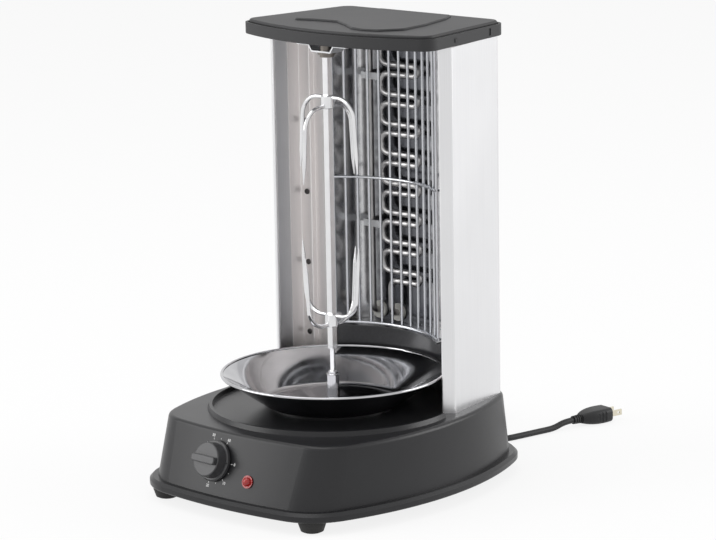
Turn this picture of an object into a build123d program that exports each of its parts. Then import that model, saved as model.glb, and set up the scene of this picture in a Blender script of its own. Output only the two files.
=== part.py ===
from build123d import *
import os
from math import atan2, cos, degrees, pi, radians, sin, sqrt, tan

# Electric skewer grill: a vertical spit turns in front of a serpentine heater, inside an open
# stainless housing that stands on a moulded base. Millimetres, +Z up, front = -Y.
# The skewer's axis is the Z axis, and the rubber feet stand on Z = 0.

# ---------------------------------------------------------------- base
BASE_HALF_WIDTH = 150.0      # widest, amidships
BASE_HALF_DEPTH = 170.0
BASE_SIDE_R = 341.0          # bulge of the two sides
BASE_FRONT_R = 522.0         # bow of the front
BASE_CORNER_R = 58.0
FOOT_HEIGHT = 12.0
FOOT_X, FOOT_FRONT_Y, FOOT_REAR_Y = 96.0, -140.0, 136.0
PLATE_TOP = 21.0             # seam between base plate and housing
PLATE_FLOOR = 3.0
DECK_Z = 80.0                # flat top of the housing
WALL = 2.6                   # moulded wall thickness
LIP_INSET = 8.6              # how far the wall stands in from the plate's edge
WALL_LEAN = 6.0              # inward lean of sides and rear from seam to deck
FRONT_LEAN = 19.4            # the control face leans back more
SHOULDER_R = 4.0
RIDGE_R = 121.5              # raised ring round the drip pan
RIDGE_WIDTH = 5.0
RIDGE_HEIGHT = 4.5
RIDGE_END_Y = 28.0           # the ring stops in front of the steel housing
SEAT_R = 60.0                # ring that carries the drip pan
SEAT_HEIGHT = 2.0

# ---------------------------------------------------------------- steel housing and liner
STEEL = 1.0
STEEL_TOP = 439.7
FLANGE_INNER = (107.2, 37.5)     # front flange, turned 45 degrees inwards
FLANGE_OUTER = (117.5, 47.0)
REAR_CORNER = (100.5, 141.0)
HEM = 4.0
REAR_CORNER_R = 8.0
SHEET = 0.8
LINER_BOTTOM, LINER_TOP = 81.0, 438.5
BULKHEAD_Y = 80.0
BULKHEAD_STEP = 6.0
BULKHEAD_STEP_X = 96.5
BULKHEAD_EDGE_X = 75.0
REFLECTOR_Y = 127.0
REFLECTOR_HALF = 64.0
REFLECTOR_BOTTOM = 137.3
LINER_SCREW_Z = (125.0, 198.0, 271.0, 344.0)
LINER_SCREW_X = 102.0

# ---------------------------------------------------------------- grille, heater, guard
GRILLE_R = 106.0
GRILLE_WIRE = 2.8
GRILLE_WIRES = 13
GRILLE_PITCH = 6.6               # degrees between upright wires
GRILLE_BOTTOM, GRILLE_TOP = 140.0, 434.0
GRILLE_RING_Z = (140.0, 290.0, 434.0)
GUARD_R = 115.5
GUARD_HALF_ANGLE = 39.2
GUARD_TOP = 137.0
HEATER_TUBE = 6.5
HEATER_Y = 115.0
HEATER_LEFT, HEATER_RIGHT = -21.5, 11.8      # ends of a straight run
HEATER_TIGHT = 9.8               # step between runs round a right-hand bend
HEATER_WIDE = 20.4               # step between runs round a left-hand bend
HEATER_RUNS = 18
HEATER_LOW = 183.0
HEATER_LEG_X = -46.0             # return leg beside the serpentine
HEATER_END_Z = 148.0
CLIP_Z = (240.0, 391.0)
CLIP_LEFT, CLIP_RIGHT = -54.0, -30.0

# ---------------------------------------------------------------- cover
COVER_FRONT_Y = -17.0
COVER_FRONT_R = 283.0
COVER_SIDE_FRONT = (121.0, 24.0)
COVER_SIDE_REAR = (105.5, 136.0)
COVER_REAR_Y = 148.5
COVER_CORNER_R = 17.0
COVER_BOTTOM = 440.0
COVER_SEAM = 451.5
LID_TOP = 454.5
FIELD_HEIGHT = 2.0               # raised field on the lid
LID_INSET = 4.0
CATCH_Y, WINDOW_Y = 55.0, 117.0  # lid catches along each side

# ---------------------------------------------------------------- drip pan and drive
PAN_R = 110.4
PAN_BOTTOM = DECK_Z + SEAT_HEIGHT + 0.3
PAN_RIM_Z = 115.0
PAN_FLOOR_R = 66.0
PAN_SHEET = 0.9
TUBE_OD, TUBE_ID, TUBE_TOP = 12.4, 10.6, 112.0
SOCKET_D = 9.6
SOCKET_TOP = 114.5
SOCKET_BOTTOM = 64.0
SOCKET_SQUARE = 4.4
RUNNING = 0.05                   # radial clearance of a running fit
MOTOR_D, MOTOR_LOW, MOTOR_TOP = 50.0, 36.0, 57.0
MOTOR_SHAFT_D = 5.0

# ---------------------------------------------------------------- skewer
BAR = 6.4                        # square bar
BAR_LOW, BAR_TOP = 137.0, 437.0
TONGUE = 4.2
TONGUE_LOW = 104.5
PIN_D = 5.0
BUSH_LOW, BUSH_TOP = 427.0, 452.4
BUSH_OD = 14.0
FORK_WIRE = 4.0
FORK_REACH = 32.0                # from the axis to the corner that a prong's bend rounds
FORK_TIP = 37.0                  # from the axis to the point of a prong
FORK_LENGTH = 72.0
FORK_BEND_R = 21.0
FORK_POINT = 16.0                # length of a prong's tapered point
HUB_D, HUB_HEIGHT = 13.5, 13.0
CLAMP_D, CLAMP_HEAD_D = 4.0, 7.2     # thumb screw that clamps a hub to the bar
CLAMP_HEAD = 4.5
CLAMP_RISE = 2.2                 # its axis above the middle of the hub, clear of the prongs
CLAMP_KNURLS = 16
UPPER_HUB_Z, LOWER_HUB_Z = 383.0, 166.0
HUB_CLEARANCE = 0.2

# ---------------------------------------------------------------- controls
PANEL_TILT = degrees(atan2(FRONT_LEAN, DECK_Z - PLATE_TOP))
KNOB_X, KNOB_Z = -18.0, 52.0
KNOB_D = 40.0
KNOB_GAP = 0.8
LAMP_X, LAMP_Z = 27.5, 39.5

# ---------------------------------------------------------------- mains lead
CORD_D = 6.4
PLUG_Z = 7.7                     # axis of the plug as it lies flat on the floor
PLUG_LENGTH = 46.0
BLADE_X, BLADE_THICK, BLADE_WIDE, BLADE_LENGTH = 6.35, 1.5, 6.3, 17.0
CORD_FLOOR = CORD_D / 2 + 0.2
GLAND_X, GLAND_Z = -26.2, 34.0
GLAND_LENGTH = 24.0
COIL_PITCH = 6.9                 # between turns, sideways and upwards
COIL_OUTER_R = 38.4              # centre line of the outermost half turn
COIL_LEAD_R = COIL_OUTER_R + COIL_PITCH / 2      # part turn that leads off
COIL_LEAD_TURN = 60.0            # degrees
COIL_LEAD_RUN = 25.0             # first run beyond the coil
COIL_STEPS = 3                   # half turns in each layer
COIL_CENTRE = (-64.6, 269.0)     # centre of the first, outermost half turn

os.makedirs("parts", exist_ok=True)


# ================================================================ helpers
def save(name, shape):
    export_step(shape, f"parts/{name}.step")


def group(shapes):
    return Compound(children=list(shapes))


def solid_of(shape):
    """The single solid of a boolean result."""
    return shape.solids()[0]


def disc(radius, z, height, x=0.0, y=0.0):
    return Pos(x, y, z + height / 2) * Cylinder(radius, height)


def block(x0, x1, y0, y1, z0, z1):
    return Pos((x0 + x1) / 2, (y0 + y1) / 2, (z0 + z1) / 2) * Box(x1 - x0, y1 - y0, z1 - z0)


def slab(face, z, height):
    """A flat face in the XY plane, raised to z and thickened upwards."""
    return extrude(Pos(0, 0, z) * face, height, dir=(0, 0, 1))


def sheet_wall(points, radii, thickness, z0, z1):
    """An upright folded sheet whose plan is a polyline with bends."""
    line = FilletPolyline(*points, radius=radii)
    return slab(trace(line, thickness), z0, z1 - z0)


def mirrored(points):
    """A right-hand half of a plan, listed from the front, made whole."""
    return list(points) + [(-x, y) for x, y in reversed(points)]


def turned(face):
    """A profile drawn as (radius, height), turned round the Z axis."""
    return revolve(Plane.XZ * face, Axis.Z)


def rod(start, end, diameter):
    """A round bar between two points."""
    start, end = Vector(*start), Vector(*end)
    way = end - start
    return extrude(Plane(origin=start, z_dir=way) * Circle(diameter / 2), way.length)


# ================================================================ plans
def base_plan(inset, front_inset=0.0):
    """The base seen from above: two bulging sides, a bowed front and a straight rear."""
    half = BASE_HALF_WIDTH - inset
    side_r = BASE_SIDE_R - inset
    front_r = BASE_FRONT_R - inset
    front_y = -BASE_HALF_DEPTH + inset + front_inset
    rear_y = BASE_HALF_DEPTH - inset
    left = Pos(side_r - half, 0) * Circle(side_r)
    right = Pos(half - side_r, 0) * Circle(side_r)
    front = Pos(0, front_y + front_r) * Circle(front_r)
    rear = Pos(0, rear_y - BASE_HALF_DEPTH * 2) * Rectangle(400, BASE_HALF_DEPTH * 4)
    plan = left & right & front & rear
    return fillet(plan.vertices(), BASE_CORNER_R - inset)


def cover_plan(inset):
    """The cover seen from above: a bowed front, straight sides drawn in to the rear."""
    side_x, side_y = COVER_SIDE_FRONT
    rear_x, rear_y = COVER_SIDE_REAR
    slope = (side_x - rear_x) / (rear_y - side_y)
    front_x = side_x + slope * (side_y - COVER_FRONT_Y)
    back_x = rear_x - slope * (COVER_REAR_Y - rear_y)
    wedge = make_face(Polyline((front_x, COVER_FRONT_Y), (back_x, COVER_REAR_Y),
                               (-back_x, COVER_REAR_Y), (-front_x, COVER_FRONT_Y), close=True))
    bow = Pos(0, COVER_FRONT_Y + COVER_FRONT_R) * Circle(COVER_FRONT_R)
    plan = wedge & bow
    plan = fillet(plan.vertices(), COVER_CORNER_R)
    return offset(plan, -inset) if inset else plan


# ================================================================ base
def housing_loft(inset, z0, z1):
    """The leaning wall between two heights, as a solid, drawn in by inset."""
    def plan_at(z):
        share = (z - PLATE_TOP) / (DECK_Z - PLATE_TOP)
        extra = (FRONT_LEAN - WALL_LEAN) * share
        return Pos(0, 0, z) * base_plan(LIP_INSET + WALL_LEAN * share + inset, extra)
    return loft([plan_at(z0).face(), plan_at(z1).face()], ruled=True)


def panel_plane(x, z):
    """A plane on the control face, its Z axis pointing out of it."""
    share = (z - PLATE_TOP) / (DECK_Z - PLATE_TOP)
    y = -BASE_HALF_DEPTH + LIP_INSET + FRONT_LEAN * share + x * x / (2 * BASE_FRONT_R)
    tilt = radians(PANEL_TILT)
    bow = x / BASE_FRONT_R
    across = (sqrt(1 - bow * bow), bow, 0)
    out = (bow * cos(tilt), -across[0] * cos(tilt), sin(tilt))
    return Plane(origin=(x, y, z), x_dir=across, z_dir=out)


BOSS_PLACES = [(x, y) for y in (-118.0, 124.0) for x in (-82.0, 82.0)]
MOTOR_POSTS = [(-34.0, 0.0), (34.0, 0.0)]


def base_housing():
    outer = housing_loft(0, PLATE_TOP, DECK_Z)
    outer = fillet(outer.faces().sort_by(Axis.Z)[-1].edges(), SHOULDER_R)
    inner = housing_loft(WALL, PLATE_TOP, DECK_Z - WALL)
    shell = outer - inner
    ring_profile = Polyline((RIDGE_R - RIDGE_WIDTH / 2, DECK_Z - 0.5),
                            (RIDGE_R + RIDGE_WIDTH / 2 + 1, DECK_Z - 0.5),
                            (RIDGE_R + RIDGE_WIDTH / 2 - 1, DECK_Z + RIDGE_HEIGHT),
                            (RIDGE_R - RIDGE_WIDTH / 2 + 1, DECK_Z + RIDGE_HEIGHT), close=True)
    ring = turned(make_face(ring_profile))
    ring -= block(-200, 200, RIDGE_END_Y, 200, 0, 200)
    shell += ring
    seat = disc(SEAT_R + 2, DECK_Z - 0.5, SEAT_HEIGHT + 0.5) - disc(SEAT_R - 2, DECK_Z - 1, 4)
    shell += seat
    for x, y in BOSS_PLACES:
        shell += disc(4.5, PLATE_TOP, DECK_Z - WALL + 0.5 - PLATE_TOP, x, y)
        shell -= disc(1.5, PLATE_TOP - 1, 16, x, y)
    for x, y in MOTOR_POSTS:
        shell += disc(4.0, MOTOR_TOP + 1.5, DECK_Z - WALL + 0.5 - MOTOR_TOP - 1.5, x, y)
    shell -= disc(8.0, DECK_Z - 20, 30)
    shell -= panel_plane(KNOB_X, KNOB_Z) * Cylinder(5.0, 12)
    shell -= panel_plane(LAMP_X, LAMP_Z) * Cylinder(4.6, 12)
    shell -= Pos(GLAND_X, BASE_HALF_DEPTH - 14, GLAND_Z) * Rot(90, 0, 0) * Cylinder(6.0, 24)
    return solid_of(shell)


def base_plate():
    """A shallow tray under the housing, with a chamfered lip, vent slots and foot sockets."""
    plate = slab(base_plan(0), FOOT_HEIGHT, PLATE_TOP - FOOT_HEIGHT)
    plate = chamfer(plate.faces().sort_by(Axis.Z)[-1].edges(), 3.0)
    plate = fillet(plate.faces().sort_by(Axis.Z)[0].edges(), 2.0)
    plate -= slab(base_plan(LIP_INSET + WALL), FOOT_HEIGHT + PLATE_FLOOR, 20)
    slot = SlotCenterToCenter(44, 4)
    for side in (-1, 1):
        for k in range(6):
            plate -= slab(Pos(side * 60, -20 + 12 * k) * slot, FOOT_HEIGHT - 1, 6)
    for x, y in BOSS_PLACES:
        plate += disc(6.0, FOOT_HEIGHT + 1, PLATE_TOP - FOOT_HEIGHT - 1, x, y)
        plate -= disc(1.8, FOOT_HEIGHT - 1, 20, x, y)
        plate -= disc(3.6, FOOT_HEIGHT - 1, 4, x, y)
    return solid_of(plate)


def foot_places():
    return [(side * FOOT_X, y) for y in (FOOT_FRONT_Y, FOOT_REAR_Y) for side in (-1, 1)]


def rubber_foot():
    profile = make_face(Polyline((0, 0), (8.5, 0), (11, 1.2), (13.5, 8.5), (14, FOOT_HEIGHT),
                                 (0, FOOT_HEIGHT), close=True))
    return turned(profile)


def pan_head_screw(length, head_d=6.0, head_h=2.2, shank_d=3.0):
    """A screw whose head rests on Z = 0 from below, its shank going up."""
    head = Pos(0, 0, -head_h / 2) * Cylinder(head_d / 2, head_h)
    head = chamfer(head.edges().sort_by(Axis.Z)[0], head_h * 0.4)
    return head + Pos(0, 0, length / 2) * Cylinder(shank_d / 2, length)


# ================================================================ drive
def gear_motor():
    """A geared synchronous motor: a flat can, its gearbox cover and two ears."""
    can = disc(MOTOR_D / 2, MOTOR_LOW, MOTOR_TOP - MOTOR_LOW)
    can = chamfer(can.edges().sort_by(Axis.Z)[0], 1.5)
    for x, y in MOTOR_POSTS:
        can += block(x - 5, x + 5, y - 5, y + 5, MOTOR_TOP - 1.5, MOTOR_TOP)
        can += block(min(x, 0), max(x, 0), -5, 5, MOTOR_TOP - 1.5, MOTOR_TOP)
    can += disc(7.0, MOTOR_TOP, 3.0)
    can -= disc(MOTOR_SHAFT_D / 2 + RUNNING, MOTOR_LOW + 4, 40)
    return solid_of(can)


def motor_bracket():
    plate = slab(SlotCenterToCenter(68, 26), MOTOR_TOP, 1.5)
    return plate - disc(9.0, MOTOR_TOP - 1, 5)


def motor_shaft():
    return disc(MOTOR_SHAFT_D / 2, MOTOR_LOW + 5, SOCKET_BOTTOM + 10 - MOTOR_LOW - 5)


def drive_socket():
    """The turning spindle: it takes the motor shaft below and the skewer's tongue above."""
    body = disc(SOCKET_D / 2, SOCKET_BOTTOM, SOCKET_TOP - SOCKET_BOTTOM)
    body = chamfer(body.edges().sort_by(Axis.Z)[-1], 0.8)
    body -= disc(MOTOR_SHAFT_D / 2, SOCKET_BOTTOM - 1, 11)
    tongue_hole = block(-SOCKET_SQUARE / 2, SOCKET_SQUARE / 2, -SOCKET_SQUARE / 2,
                        SOCKET_SQUARE / 2, TONGUE_LOW - 0.4, SOCKET_TOP + 1)
    return body - tongue_hole


def drive_bush():
    """A flanged bearing bush in the deck, round the spindle."""
    bush = disc(8.0, DECK_Z - 8, 8) + disc(11.0, DECK_Z, 1.6)
    return bush - disc(SOCKET_D / 2 + RUNNING, DECK_Z - 10, 14)


# ================================================================ drip pan
def drip_pan():
    """A pressed dish: flat floor, slanted wall and a rolled bead for a rim."""
    mid = PAN_BOTTOM + PAN_SHEET / 2
    line = FilletPolyline((TUBE_OD / 2, mid), (PAN_FLOOR_R, mid), (PAN_R - 0.6, PAN_RIM_Z - 1.6),
                          radius=[18.0])
    profile = trace(line, PAN_SHEET)
    floor = make_face(Polyline((TUBE_OD / 2, PAN_BOTTOM), (20, PAN_BOTTOM),
                               (20, PAN_BOTTOM + PAN_SHEET), (TUBE_OD / 2, PAN_BOTTOM + PAN_SHEET),
                               close=True))
    bead = Pos(PAN_R - 0.4, PAN_RIM_Z - 1.5) * Circle(1.5)
    keep = Pos(TUBE_OD / 2 + 100, 100) * Rectangle(200, 200)
    return turned((profile + floor + bead) & keep)


def pan_tube():
    """The upright tube in the middle of the pan, which keeps fat away from the spindle."""
    profile = Polyline((TUBE_ID / 2, PAN_BOTTOM), (TUBE_OD / 2, PAN_BOTTOM),
                       (TUBE_OD / 2, PAN_BOTTOM + PAN_SHEET), (TUBE_OD / 2 + 2.4, PAN_BOTTOM + PAN_SHEET),
                       (TUBE_OD / 2, PAN_BOTTOM + PAN_SHEET + 2.4), (TUBE_OD / 2, TUBE_TOP - 1.4),
                       (TUBE_OD / 2 + 0.7, TUBE_TOP - 0.7), (TUBE_OD / 2, TUBE_TOP),
                       (TUBE_ID / 2, TUBE_TOP), close=True)
    return turned(make_face(profile))


# ================================================================ skewer
def skewer_bar():
    """A square bar, with a round neck and a square tongue at its lower end."""
    bar = block(-BAR / 2, BAR / 2, -BAR / 2, BAR / 2, BAR_LOW, BAR_TOP)
    ends = bar.faces().sort_by(Axis.Z)
    bar = chamfer(ends[-1].edges(), 1.2)
    bar += disc(PIN_D / 2, SOCKET_TOP + 0.3, BAR_LOW - SOCKET_TOP)
    half = TONGUE / 2
    tongue = block(-half, half, -half, half, TONGUE_LOW, SOCKET_TOP + 0.8)
    tongue = chamfer(tongue.faces().sort_by(Axis.Z)[0].edges(), 0.6)
    return solid_of(bar + tongue)


def prong(direction, z_out, along):
    """One bent, pointed wire: out from the hub, round a bend, then along the skewer."""
    start = Vector(HUB_D / 2 - 2.5, 0, z_out)
    corner = Vector(FORK_REACH, 0, z_out)
    tip = Vector(FORK_TIP, 0, z_out + along * FORK_LENGTH)
    way = (tip - corner).normalized()
    taper_from = tip - way * FORK_POINT
    path = FilletPolyline(start, corner, taper_from, radius=[FORK_BEND_R])
    wire = sweep(Plane(origin=start, z_dir=(1, 0, 0)) * Circle(FORK_WIRE / 2), path=path)
    point = loft([(Plane(origin=taper_from, z_dir=way) * Circle(FORK_WIRE / 2)).face(),
                  (Plane(origin=tip, z_dir=way) * Circle(0.5)).face()])
    return Rot(0, 0, direction) * (wire + point)


def fork_hub(z):
    """The square-holed hub that slides on the bar, drilled behind for its thumb screw."""
    hub = disc(HUB_D / 2, z - HUB_HEIGHT / 2, HUB_HEIGHT)
    hub = chamfer(hub.edges().filter_by(GeomType.CIRCLE), 0.8)
    half = BAR / 2 + HUB_CLEARANCE
    hub -= block(-half, half, -half, half, z - HUB_HEIGHT, z + HUB_HEIGHT)
    hub -= Pos(0, HUB_D / 2, z + CLAMP_RISE) * Rot(90, 0, 0) * Cylinder(CLAMP_D / 2 + RUNNING, HUB_D)
    return solid_of(hub)


def fork_prongs(z, along):
    """Four bent wires fixed in the hub: one pair above, one pair crossing below it."""
    reach = HUB_HEIGHT / 2 - FORK_WIRE / 2
    hub = fork_hub(z)
    pairs = [(0, z + reach), (180, z + reach), (90, z - reach), (270, z - reach)]
    return group([solid_of(prong(turn, height, along) - hub) for turn, height in pairs])


def thumb_screw(z):
    """A short knurled screw that clamps the hub to the bar, from the rear."""
    tip = BAR / 2 + 0.1
    under_head = HUB_D / 2 + 0.6
    shank = disc(CLAMP_D / 2, tip, under_head + 1 - tip)
    head = disc(CLAMP_HEAD_D / 2, under_head, CLAMP_HEAD)
    head = chamfer(head.edges().filter_by(GeomType.CIRCLE), 0.5)
    for k in range(CLAMP_KNURLS):
        groove = disc(0.4, under_head - 1, CLAMP_HEAD + 2, CLAMP_HEAD_D / 2 + 0.15)
        head -= Rot(0, 0, k * 360 / CLAMP_KNURLS) * groove
    return Pos(0, 0, z + CLAMP_RISE) * Rot(-90, 0, 0) * solid_of(shank + head)


# ================================================================ steel housing
def steel_housing():
    """One bent sheet, open in front, with hemmed flanges turned in and vents behind."""
    hem = (FLANGE_INNER[0] + 0.6, FLANGE_INNER[1] + HEM)
    half = [hem, FLANGE_INNER, FLANGE_OUTER, REAR_CORNER]
    bends = [0.9, 2.0, REAR_CORNER_R]
    wall = sheet_wall(mirrored(half), bends + bends[::-1], STEEL, DECK_Z, STEEL_TOP)
    slot = Plane.XZ * SlotCenterToCenter(46, 4)
    for k in range(7):
        for side in (-1, 1):
            place = Pos(side * 42, REAR_CORNER[1] + 5, 360 + 10 * k)
            wall -= place * extrude(slot, 10, both=True)
    return solid_of(wall)


def wall_x(y):
    """Inner face of the right-hand steel wall at depth y."""
    (x0, y0), (x1, y1) = FLANGE_OUTER, REAR_CORNER
    return x0 + (y - y0) * (x1 - x0) / (y1 - y0) - STEEL / 2 - SHEET / 2 - 0.1


def bulkhead(side):
    """A folded strip between the steel wall and the heater's bay, fixed by four screws."""
    step_y = BULKHEAD_Y + BULKHEAD_STEP
    points = [(wall_x(66), 66.0), (wall_x(BULKHEAD_Y), BULKHEAD_Y), (BULKHEAD_STEP_X, BULKHEAD_Y),
              (BULKHEAD_STEP_X, step_y), (BULKHEAD_EDGE_X, step_y), (BULKHEAD_EDGE_X, step_y + 8)]
    wall = sheet_wall([(side * x, y) for x, y in points], [1.5, 1.0, 1.0, 1.0], SHEET,
                      LINER_BOTTOM, LINER_TOP)
    for z in LINER_SCREW_Z:
        hole = Rot(90, 0, 0) * Cylinder(1.7, 10)
        wall -= Pos(side * LINER_SCREW_X, BULKHEAD_Y, z) * hole
    return solid_of(wall)


def rear_reflector():
    """The polished tray behind the heater."""
    step_y = BULKHEAD_Y + BULKHEAD_STEP
    half = [(BULKHEAD_EDGE_X - SHEET, step_y + 1), (REFLECTOR_HALF + 4, REFLECTOR_Y - 12),
            (REFLECTOR_HALF - 6, REFLECTOR_Y)]
    tray = sheet_wall(mirrored(half), [8.0] * 4, SHEET, REFLECTOR_BOTTOM, LINER_TOP)
    for x, z in terminal_places():
        tray -= Pos(x, REFLECTOR_Y, z) * Rot(90, 0, 0) * Cylinder(HEATER_TUBE, 10)
    return solid_of(tray)


def heat_guard():
    """The dark curved apron behind the pan, whose top is the floor of the heater's bay."""
    def ring(r0, r1, z0, z1):
        return disc(r1, z0, z1 - z0) - disc(r0, z0 - 1, z1 - z0 + 2)
    apron = ring(GUARD_R, GUARD_R + 1, DECK_Z, GUARD_TOP)
    apron += ring(GUARD_R, GUARD_R + 6, DECK_Z, DECK_Z + 1)
    reach = 300.0
    half = radians(GUARD_HALF_ANGLE)
    fan = make_face(Polyline((0, 0), (reach * sin(half), reach * cos(half)),
                             (-reach * sin(half), reach * cos(half)), close=True))
    ledge = block(-68, 68, 70, REFLECTOR_Y, GUARD_TOP - 1, GUARD_TOP)
    ledge -= disc(GRILLE_R - 3, GUARD_TOP - 2, 4)
    return solid_of((apron & slab(fan, 0, 300)) + ledge)


# ================================================================ grille and heater
def wire_grille():
    """Upright wires on a part circle round the skewer, welded to three curved cross wires."""
    cross_r = GRILLE_R - GRILLE_WIRE + 0.4
    end_angle = GRILLE_PITCH * (GRILLE_WIRES - 1) / 2
    cage = None
    for z in GRILLE_RING_Z:
        start = Rot(0, 0, 90 - end_angle - 1.5) * Pos(cross_r, 0, z)
        arc = CenterArc((0, 0, z), cross_r, 90 - end_angle - 1.5, 2 * end_angle + 3)
        section = Plane(origin=arc @ 0, z_dir=arc % 0) * Circle(GRILLE_WIRE / 2)
        cross = sweep(section, path=arc)
        cage = cross if cage is None else cage + cross
    for k in range(GRILLE_WIRES):
        turn = radians(90 - end_angle + GRILLE_PITCH * k)
        x, y = GRILLE_R * cos(turn), GRILLE_R * sin(turn)
        cage += disc(GRILLE_WIRE / 2, GRILLE_BOTTOM - 1.4, GRILLE_TOP - GRILLE_BOTTOM + 2.8, x, y)
    for z in GRILLE_RING_Z:
        for side in (-1, 1):
            edge = radians(90 - end_angle)
            x, y = GRILLE_R * cos(edge), GRILLE_R * sin(edge)
            cage += rod((side * x, y, z), (side * x, BULKHEAD_Y + BULKHEAD_STEP + 6, z), GRILLE_WIRE)
    return solid_of(cage)


def heater_path():
    """Straight runs joined by tight bends on the right and wide ones on the left, then a
    return leg; both ends are led down and back to the terminals."""
    back_y = REFLECTOR_Y + 11
    z = HEATER_LOW
    middle = (HEATER_LEFT + HEATER_RIGHT) / 2
    edges = list(FilletPolyline((HEATER_LEFT, back_y, HEATER_END_Z), (HEATER_LEFT, HEATER_Y, HEATER_END_Z),
                                (HEATER_LEFT, HEATER_Y, z), (middle, HEATER_Y, z),
                                radius=[8.0, 8.0]).edges())
    start = middle
    for k in range(HEATER_RUNS - 1):
        to_right = k % 2 == 0
        end = HEATER_RIGHT if to_right else HEATER_LEFT
        step = HEATER_TIGHT if to_right else HEATER_WIDE
        out = step / 2 if to_right else -step / 2
        edges.append(Line((start, HEATER_Y, z), (end, HEATER_Y, z)))
        edges.append(ThreePointArc((end, HEATER_Y, z), (end + out, HEATER_Y, z + step / 2),
                                   (end, HEATER_Y, z + step)))
        start = end
        z += step
    edges += FilletPolyline((start, HEATER_Y, z), (HEATER_LEG_X, HEATER_Y, z),
                            (HEATER_LEG_X, HEATER_Y, HEATER_END_Z),
                            (HEATER_LEG_X, back_y, HEATER_END_Z), radius=[9.0, 8.0]).edges()
    return Wire(edges)


def heater_element():
    path = heater_path()
    section = Plane(origin=path @ 0, z_dir=path % 0) * Circle(HEATER_TUBE / 2)
    return sweep(section, path=path)


def terminal_places():
    return [(x, HEATER_END_Z) for x in (HEATER_LEFT, HEATER_LEG_X)]


def ceramic_terminal(x, z):
    """A ribbed ceramic bead that carries a heater end through the reflector."""
    bead = Cylinder(6.3, 9) + Pos(0, 0, 5.5) * Cylinder(9.0, 3) + Pos(0, 0, -5.5) * Cylinder(9.0, 3)
    bead -= Cylinder(HEATER_TUBE / 2, 40)
    return Pos(x, REFLECTOR_Y + 3.3, z) * Rot(90, 0, 0) * bead


def heater_clip(z):
    """A strap across the return leg and the bends beside it, with one foot on the reflector."""
    y0 = HEATER_Y - HEATER_TUBE / 2 - 1
    strap = block(CLIP_LEFT, CLIP_RIGHT, y0, y0 + 1, z - 3.5, z + 3.5)
    strap += block(CLIP_LEFT, CLIP_LEFT + 1, y0, REFLECTOR_Y - SHEET / 2, z - 3.5, z + 3.5)
    return solid_of(strap)


# ================================================================ cover
def cover_side_x(y):
    """Outer face of the cover's right-hand side at depth y."""
    (x0, y0), (x1, y1) = COVER_SIDE_FRONT, COVER_SIDE_REAR
    return x0 + (y - y0) * (x1 - x0) / (y1 - y0)


def cover_boss_places():
    return [(side * x, y) for side in (-1, 1) for x, y in ((78.0, 20.0), (84.0, 128.0))]


def cover_frame():
    """The lower moulding of the cover: an upright band with screw bosses and lid catches."""
    height = COVER_SEAM - COVER_BOTTOM
    whole = slab(cover_plan(0), COVER_BOTTOM, height)
    whole = fillet(whole.faces().sort_by(Axis.Z)[0].edges(), 1.0)
    band = whole - slab(cover_plan(2.6), COVER_BOTTOM - 1, height + 2)
    boss_low = STEEL_TOP + 1.0
    for x, y in cover_boss_places():
        end = x + (30 if x > 0 else -30)
        rib = block(min(x, end), max(x, end), y - 1, y + 1, boss_low, COVER_SEAM) & whole
        band += disc(4.0, boss_low, COVER_SEAM - boss_low, x, y) + rib
    for x, y in cover_boss_places():
        band -= disc(1.5, STEEL_TOP, 9, x, y)
    for side in (-1, 1):
        edge = side * cover_side_x(WINDOW_Y)
        band -= block(edge - 1.2, edge + 1.2, WINDOW_Y - 2, WINDOW_Y + 2,
                      COVER_BOTTOM + 2.5, COVER_SEAM - 2)
        edge = side * cover_side_x(CATCH_Y)
        band += block(edge - 1.2, edge + 1.0, CATCH_Y - 2, CATCH_Y + 2,
                      COVER_BOTTOM + 3.5, COVER_BOTTOM + 7.5)
    return solid_of(band)


def field_plan():
    """The raised field on the lid: its front edge sweeps forward on the right."""
    right = [(46, 134), (57, 112), (69, 66), (72, 31), (57, 11), (40, 6), (24, 9), (6, 22)]
    left = [(-20, 37.6), (-50, 35), (-72, 27), (-69, 66), (-57, 112), (-46, 134)]
    plan = make_face(Polyline(*right, *left, close=True))
    return fillet(plan.vertices(), 6.0)


def cover_lid():
    lid = slab(cover_plan(LID_INSET), COVER_SEAM, LID_TOP - COVER_SEAM)
    lid = fillet(lid.faces().sort_by(Axis.Z)[-1].edges(), 2.0)
    lid -= slab(cover_plan(LID_INSET + 4.0), COVER_SEAM - 1, BUSH_TOP + 0.2 - COVER_SEAM + 1)
    field = slab(field_plan(), LID_TOP - 0.5, FIELD_HEIGHT + 0.5)
    field = chamfer(field.faces().sort_by(Axis.Z)[-1].edges(), 1.2)
    return solid_of(lid + field)


def heat_shield():
    """The steel plate under the cover, pierced for the top bearing."""
    plate = slab(cover_plan(3.0), STEEL_TOP, 1.0)
    plate -= disc(BUSH_OD / 2, STEEL_TOP - 1, 4)
    for x, y in cover_boss_places():
        plate -= disc(1.7, STEEL_TOP - 1, 4, x, y)
    return solid_of(plate)


def bearing_bracket():
    """A hat-shaped strap under the shield that holds the top bush."""
    arm = 32.0
    drop = 7.0
    profile = Polyline((-arm, STEEL_TOP - 0.75), (-16, STEEL_TOP - 0.75), (-12, STEEL_TOP - drop),
                       (12, STEEL_TOP - drop), (16, STEEL_TOP - 0.75), (arm, STEEL_TOP - 0.75))
    strap = extrude(Plane.XZ * trace(profile, 1.5), 9, both=True)
    return solid_of(strap - disc(BUSH_OD / 2, BUSH_LOW, 30))


def top_bush():
    """A blind bush: the bar turns in it, and rises in it when the skewer is lifted out."""
    bush = disc(BUSH_OD / 2, BUSH_LOW, BUSH_TOP - BUSH_LOW)
    bush += disc(BUSH_OD / 2 + 2, BUSH_LOW + 2.7, 2.2)
    corner_r = BAR / sqrt(2)
    bush -= disc(corner_r + RUNNING, BUSH_LOW - 1, BUSH_TOP - BUSH_LOW - 1.0)
    return solid_of(bush)


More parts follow.
